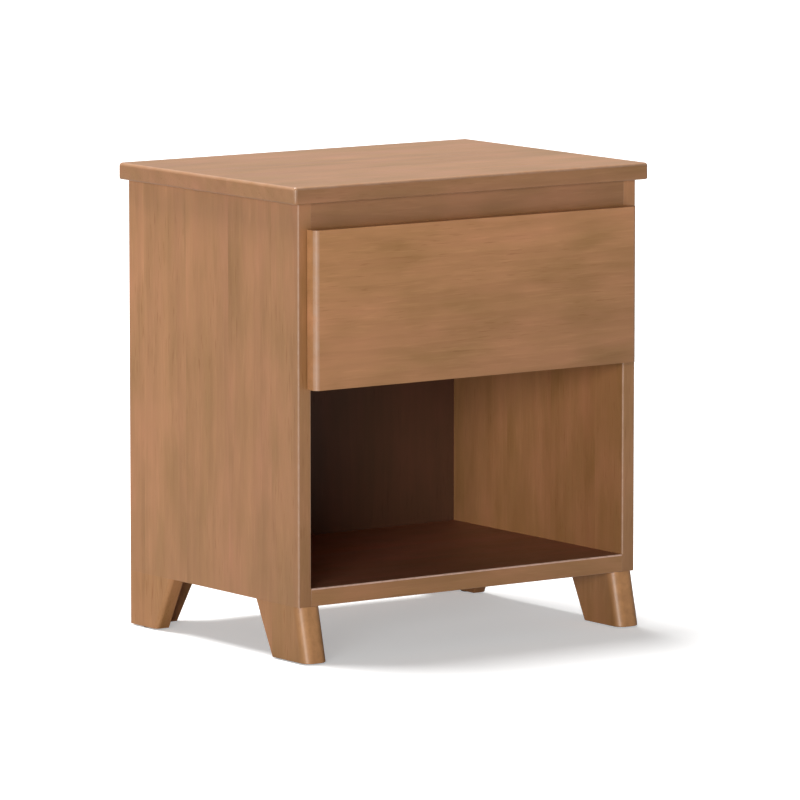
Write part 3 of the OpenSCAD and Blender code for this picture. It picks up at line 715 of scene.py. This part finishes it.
class NIGHTSTAND_OT_stage(bpy.types.Operator):
    """Makes the camera, the pale floor and the soft studio light"""
    bl_idname = "nightstand.stage"
    bl_label = "Camera, floor and light"

    def execute(self, context):
        s = context.scene.nightstand_light
        turn, rise = s.turn, s.height
        right = Vector((math.cos(turn), math.sin(turn), 0.0))
        back = Vector((math.sin(turn) * math.cos(rise), -math.cos(turn) * math.cos(rise), math.sin(rise)))
        up = back.cross(right)
        case_low, case_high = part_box("side_panel_left")
        middle = Vector((0.0, (case_low.y + case_high.y) / 2, s.aim_level))
        lens = bpy.data.cameras.new("camera")
        lens.lens = s.lens
        lens.sensor_width = 36.0
        lens.clip_end = 100.0
        lens.dof.use_dof = False
        camera = bpy.data.objects.new("camera", lens)
        context.scene.collection.objects.link(camera)
        spin = Matrix((right, up, back)).transposed()
        eye = middle + right * s.aim_side + back * s.distance
        camera.matrix_world = Matrix.Translation(eye) @ spin.to_4x4()
        context.scene.camera = camera

        for name, energy, aim, width in (("key_light", s.key, (-0.10, 0.34, 0.93), 30.0),
                                         ("left_light", s.left, (-0.745, -0.66, 0.075), 26.0),
                                         ("rim_light", s.rim, (0.57, 0.81, 0.16), 55.0)):
            lamp = bpy.data.lights.new(name, "SUN")
            lamp.energy = energy
            lamp.angle = math.radians(width)
            light = bpy.data.objects.new(name, lamp)
            light.rotation_euler = Vector(aim).to_track_quat("Z", "Y").to_euler()
            context.scene.collection.objects.link(light)

        world = bpy.data.worlds.new("studio")
        context.scene.world = world
        world.use_nodes = True
        g = Graph(world.node_tree)
        world.node_tree.nodes.clear()
        shine = g.node("ShaderNodeBackground")
        g.feed(shine.inputs["Color"], (1.0, 0.985, 0.965, 1.0))
        seen = g.node("ShaderNodeLightPath").outputs["Is Camera Ray"]
        g.feed(shine.inputs["Strength"], g.remap(seen, 0.0, 1.0, s.room, 1.0))
        g.link(shine.outputs[0], g.node("ShaderNodeOutputWorld").inputs["Surface"])

        bm = bmesh.new()
        bmesh.ops.create_grid(bm, x_segments=12, y_segments=12, size=40.0)
        mesh = bpy.data.meshes.new("studio_floor")
        bm.to_mesh(mesh)
        bm.free()
        ground = bpy.data.objects.new("studio_floor", mesh)
        context.scene.collection.objects.link(ground)
        surface, g, shader = new_material("studio_floor")
        c = context.scene.nightstand_colours.floor
        pale = g.mix(g.noise(g.where(), 3.0, 2.0), rgba(c), rgba(toned(c, 0.985)))
        seen = g.node("ShaderNodeLightPath").outputs["Is Camera Ray"]
        # the floor shows its full colour to the camera but throws back only a share of it; it also glows for
        # the camera, painted light that keeps its shadows pale
        g.link(g.mix(seen, rgba(toned(c, s.bounce)), pale), shader.inputs["Base Color"])
        g.link(g.mix(seen, (0.0, 0.0, 0.0, 1.0), rgba(c)), shader.inputs["Emission Color"])
        shader.inputs["Emission Strength"].default_value = s.lift
        shader.inputs["Roughness"].default_value = 0.85
        shader.inputs["Specular IOR Level"].default_value = 0.1
        mesh.materials.append(surface)
        context.scene.view_settings.view_transform = "Standard"
        return {"FINISHED"}


class NIGHTSTAND_OT_top(bpy.types.Operator):
    """Makes the top board with rounded corners and edges"""
    bl_idname = "nightstand.top_board"
    bl_label = "Top board"

    def execute(self, context):
        s = context.scene.nightstand_sizes
        low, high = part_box("top_board")
        outline = corners_of(low, high, [s.top_corner] * 4, "Z")
        middle = (low.z + high.z) / 2
        piece = loft("top_board", outline, outline, "Z", low.z, high.z, s.top_edge, ROOT,
                     "alder_top", radius_at=lambda p: s.top_edge if p.z > middle else s.top_under)
        # upper edges take the full paler edge colour, lower edges a tenth: partly wear, partly painted
        # highlight from above
        set_edge_wear_and_highlight(piece, lambda p, n, w: w * (0.1 if p.z < middle else 1.0 if abs(n.x) < 0.5 else 0.6))
        # painted shade: the top board's front face takes the darker copy of the stain
        paint_part(piece, "alder_rail", lambda face: face.normal.y < -0.8)
        return {"FINISHED"}


class NIGHTSTAND_OT_sides(bpy.types.Operator):
    """Makes the two side panels, each with its groove for the back panel"""
    bl_idname = "nightstand.side_panels"
    bl_label = "Side panels"

    def execute(self, context):
        s = context.scene.nightstand_sizes
        back_low, back_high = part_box("back_panel")
        floor_top, rail_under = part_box("cubby_floor")[1].z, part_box("front_rail")[0].z
        near, far = back_low.y - BACK_PLAY, back_high.y + BACK_PLAY
        e = s.small_arris
        for node, left in (("side_panel_left", True), ("side_panel_right", False)):
            low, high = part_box(node)
            outer, inner = (low.x, high.x) if left else (high.x, low.x)
            reach = back_low.x - GROOVE_PLAY if left else back_high.x + GROOVE_PLAY

            def outline(arris):
                return [(outer, low.y, s.case_arris), (inner, low.y, arris), (inner, near, 0.0),
                        (reach, near, 0.0), (reach, far, 0.0), (inner, far, 0.0), (inner, high.y, e),
                        (outer, high.y, e * 2)]

            flush, eased = outline(BUTT), outline(s.inner_arris)
            loft(node, flush, flush, "Z", low.z, high.z, e * 0.6, ROOT, "alder_side",
                 between=[(flush, floor_top), (eased, floor_top), (eased, rail_under), (flush, rail_under)])
        return {"FINISHED"}


class NIGHTSTAND_OT_levels(bpy.types.Operator):
    """Makes the cubby floor, the divider, the front rail and the back panel"""
    bl_idname = "nightstand.level_boards"
    bl_label = "Floor, divider, rail and back"

    def execute(self, context):
        s = context.scene.nightstand_sizes
        e = s.small_arris
        back_low, back_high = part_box("back_panel")
        near, far, groove = back_low.y - BACK_PLAY, back_high.y + BACK_PLAY, back_low.z - GROOVE_PLAY

        def board(node, outline, finish, name=None):
            low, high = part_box(node)
            return loft(node, outline, outline, "X", low.x, high.x, BUTT, ROOT, finish, name)

        low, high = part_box("cubby_floor")
        outline = [(low.y, low.z, s.case_arris * 0.5), (high.y, low.z, e), (high.y, high.z, e),
                   (far, high.z, 0.0), (far, groove, 0.0), (near, groove, 0.0), (near, high.z, 0.0),
                   (low.y, high.z, s.case_arris)]
        piece = board("cubby_floor", outline, "alder_level")
        # painted highlight: the cubby floor's top front edge takes 1.6 times the paler edge colour
        set_edge_wear_and_highlight(piece, lambda p, n, w: w * (1.6 if p.z > high.z - 0.004 else 0.3))
        # painted shade: the cubby floor's top face takes a darker copy of the stain
        paint_part(piece, "alder_inside",
                   lambda face: face.normal.z > 0.99 and face.center.z > high.z - LEVEL_PLAY)
        arris = s.case_arris
        board("divider_panel", corners_of(*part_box("divider_panel"), [arris, e, e, arris], "X"), "alder_level",
              "divider_shaped")
        # painted shade: the front rail takes the darker copy of the stain
        board("front_rail", corners_of(*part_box("front_rail"), [arris, e, e, SEAT], "X"), "alder_rail")
        outline = corners_of(back_low, back_high, [SEAM] * 4, "Z")
        loft("back_panel", outline, outline, "Z", back_low.z, back_high.z, SEAM, ROOT,
             "alder_panel")
        return {"FINISHED"}


class NIGHTSTAND_OT_feet(bpy.types.Operator):
    """Makes the front feet, leaning forward with two rounded front edges, and the two-board rear feet"""
    bl_idname = "nightstand.feet"
    bl_label = "Feet"

    def execute(self, context):
        s = context.scene.nightstand_sizes
        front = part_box("side_panel_left")[0].y
        reach = s.foot_seat - s.foot_rake
        small, heel = 0.001, 0.0015

        def foot(node, outline, below, above, finish, band=True):
            """A foot board from outline(*below) at the floor to outline(*above) under the case."""
            floor, case = (corner.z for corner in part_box(node))
            return loft(node, outline(*below), outline(*above), "Z", floor, case, s.foot_floor, ROOT,
                        finish, band=band,
                        radius_at=lambda p: s.foot_floor if p.z < floor + small else SEAT)

        for side, left in (("left", True), ("right", False)):
            node = "foot_front_" + side
            low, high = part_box(node)

            def block(nose, back):
                return [(low.x, nose, s.foot_nose), (high.x, nose, s.foot_nose), (high.x, back, heel),
                        (low.x, back, heel)]

            piece = foot(node, block, (front - s.foot_splay, front + reach), (front, front + s.foot_seat),
                         "alder_foot", band=False)
            # painted light: forward-facing faces of the front feet take the paler colour
            set_edge_wear_and_highlight(piece, lambda p, n, w: min(1.0, max(0.0, -n.y - 0.30) * 2.0))

            node = f"foot_rear_{side}_side"
            low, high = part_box(node)
            outer, inner = (low.x, high.x) if left else (high.x, low.x)

            def board(toe):
                return [(outer, toe, s.foot_arris), (inner, toe, small), (inner, high.y, SEAM),
                        (outer, high.y, small)]

            piece = foot(node, board, (high.y - reach,), (high.y - s.foot_seat,), "alder_foot")
            set_edge_wear_and_highlight(piece, lambda p, n, w: w * 0.15)

            node = f"foot_rear_{side}_back"
            low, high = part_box(node)
            outer, inner = (low.x, high.x) if left else (high.x, low.x)

            def wing(tip):
                return [(outer, low.y, SEAM), (tip, low.y, small), (tip, high.y, 2 * small),
                        (outer, high.y, SEAM)]

            toe = inner - s.foot_rake if left else inner + s.foot_rake
            foot(node, wing, (toe,), (inner,), "alder_foot_back")
        return {"FINISHED"}


class NIGHTSTAND_OT_inside(bpy.types.Operator):
    """Eases the rails, cleats and blocks inside the case and finishes the case's fixings"""
    bl_idname = "nightstand.inside_case"
    bl_label = "Rails, cleats, blocks and fixings"

    def execute(self, context):
        for node, finish in (("rear_rail", "plain_across"), ("cleat_left", "plain_deep"),
                             ("cleat_right", "plain_deep"), ("corner_block_left", "plain_upright"),
                             ("corner_block_right", "plain_upright")):
            soften(node, 0.0006, ROOT, finish)
        for node, finish in (("case_dowels", "beech_across"), ("foot_dowels", "beech_upright"),
                             ("cleat_screws", "screw_zinc"), ("block_screws", "screw_zinc")):
            paint(frame["nodes"][node], finish)
        return {"FINISHED"}


class NIGHTSTAND_OT_glides(bpy.types.Operator):
    """Turns the four floor glides with a rounded rim"""
    bl_idname = "nightstand.glides"
    bl_label = "Floor glides"

    def execute(self, context):
        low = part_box("floor_glides")[0]
        mesh = frame["nodes"]["floor_glides"].data
        glides = []
        for point in (v.co for v in mesh.vertices if v.co.z < low.z + LEVEL_PLAY):
            for glide in glides:
                if (glide[0] - point).length < GLIDE_SPAN:
                    glide.append(point)
                    break
            else:
                glides.append([point])
        bm = bmesh.new()
        for glide in glides:
            x0, x1 = min(p.x for p in glide), max(p.x for p in glide)
            y0, y1 = min(p.y for p in glide), max(p.y for p in glide)
            centre = Vector(((x0 + x1) / 2, (y0 + y1) / 2, low.z))
            radius = (x1 - x0) / 2
            profile = ((radius - 0.003, 0.0), (radius - 0.0006, 0.0), (radius - 0.00018, 0.00015),
                       (radius, 0.0006), (radius, 0.0015))
            rings = []
            for r, z in profile:
                turns = (2 * math.pi * k / GLIDE_STEPS for k in range(GLIDE_STEPS))
                spots = [centre + Vector((math.cos(a) * r, math.sin(a) * r, z)) for a in turns]
                rings.append([bm.verts.new(spot) for spot in spots])
            for lower, upper in zip(rings, rings[1:]):
                for k in range(GLIDE_STEPS):
                    j = (k + 1) % GLIDE_STEPS
                    bm.faces.new((lower[k], lower[j], upper[j], upper[k]))
            bm.faces.new(rings[0][::-1])
            bm.faces.new(rings[-1])
        bmesh.ops.recalc_face_normals(bm, faces=bm.faces[:])
        bm.edges.layers.float.new("bevel_weight_edge")
        finish_mesh("floor_glides_turned", bm, BUTT, ROOT, ["floor_glides"], "glide_plastic")
        return {"FINISHED"}


class NIGHTSTAND_OT_drawer(bpy.types.Operator):
    """Makes the drawer front with rounded edges and eases the dovetailed box behind it"""
    bl_idname = "nightstand.drawer"
    bl_label = "Drawer front and box"

    def execute(self, context):
        s = context.scene.nightstand_sizes
        low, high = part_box("drawer_front")
        rear = 0.0008
        outline = corners_of(low, high, [s.front_side, s.front_side, rear, rear], "Z")
        behind = high.y - rear - LEVEL_PLAY
        piece = loft("drawer_front", outline, outline, "Z", low.z, high.z, s.front_level, DRAWER,
                     "alder_front",
                     radius_at=lambda p: rear if p.y > behind else s.front_level)
        # upright edges take the full paler edge colour, level ones less and right-facing ones a fifth: partly
        # wear, partly painted highlight on the edges facing the light
        set_edge_wear_and_highlight(piece, lambda p, n, w: w * (1.0 if abs(n.z) < 0.2 else 0.45) * (1.0 if n.x < 0.1 else 0.2))
        for node, finish, slot in (("drawer_box_front", "drawer_across", "drawer_wood"),
                                   ("drawer_box_back", "drawer_across", "drawer_wood"),
                                   ("drawer_side_left", "drawer_deep", "drawer_wood"),
                                   ("drawer_side_right", "drawer_deep", "drawer_wood"),
                                   ("drawer_bottom", "drawer_ply", "drawer_panel")):
            soften(node, 0.0005, DRAWER, finish)
        paint(frame["nodes"]["drawer_front_screws"], "screw_zinc")
        return {"FINISHED"}


class NIGHTSTAND_OT_slides(bpy.types.Operator):
    """Finishes the ball bearing slides, their cages, balls, screws and buffers"""
    bl_idname = "nightstand.slides"
    bl_label = "Slides"

    def execute(self, context):
        nodes = frame["nodes"]
        for side in ("left", "right"):
            for part, finish in (("slide_case_", "slide_steel"), ("slide_middle_", "slide_steel"),
                                 ("slide_drawer_", "slide_steel"), ("outer_cage_", "cage_steel"),
                                 ("inner_cage_", "cage_steel"), ("outer_balls_", "ball_steel"),
                                 ("inner_balls_", "ball_steel")):
                piece = paint(nodes[part + side], finish)
                if "balls" in part:
                    for face in piece.data.polygons:
                        face.use_smooth = True
        for node, finish in (("slide_case_screws", "screw_zinc"), ("slide_drawer_screws", "screw_zinc"),
                             ("slide_bumpers", "bumper_rubber")):
            paint(nodes[node], finish)
        return {"FINISHED"}


class NIGHTSTAND_PT_panel(bpy.types.Panel):
    """Lists the steps that build the nightstand"""
    bl_idname = "NIGHTSTAND_PT_panel"
    bl_label = "Nightstand"
    bl_space_type = "VIEW_3D"
    bl_region_type = "UI"
    bl_category = "Nightstand"

    def draw(self, context):
        column = self.layout.column()
        for step in STEPS:
            column.operator(step.bl_idname)
        scene = context.scene
        for group in (scene.nightstand_sizes, scene.nightstand_colours, scene.nightstand_light):
            box = self.layout.box()
            for key in group.__annotations__:
                box.prop(group, key)


STEPS = (NIGHTSTAND_OT_stage, NIGHTSTAND_OT_top, NIGHTSTAND_OT_sides, NIGHTSTAND_OT_levels, NIGHTSTAND_OT_feet,
         NIGHTSTAND_OT_inside, NIGHTSTAND_OT_glides, NIGHTSTAND_OT_drawer, NIGHTSTAND_OT_slides)
CLASSES = (NightstandSizes, NightstandColours, NightstandLight) + STEPS + (NIGHTSTAND_PT_panel,)


def register():
    for item in CLASSES:
        bpy.utils.register_class(item)
    bpy.types.Scene.nightstand_sizes = PointerProperty(type=NightstandSizes)
    bpy.types.Scene.nightstand_colours = PointerProperty(type=NightstandColours)
    bpy.types.Scene.nightstand_light = PointerProperty(type=NightstandLight)


def unregister():
    del bpy.types.Scene.nightstand_light
    del bpy.types.Scene.nightstand_colours
    del bpy.types.Scene.nightstand_sizes
    for item in reversed(CLASSES):
        bpy.utils.unregister_class(item)


def main():
    register()
    for step in STEPS:
        family, name = step.bl_idname.split(".")
        getattr(getattr(bpy.ops, family), name)()


if __name__ == "__main__":
    main()
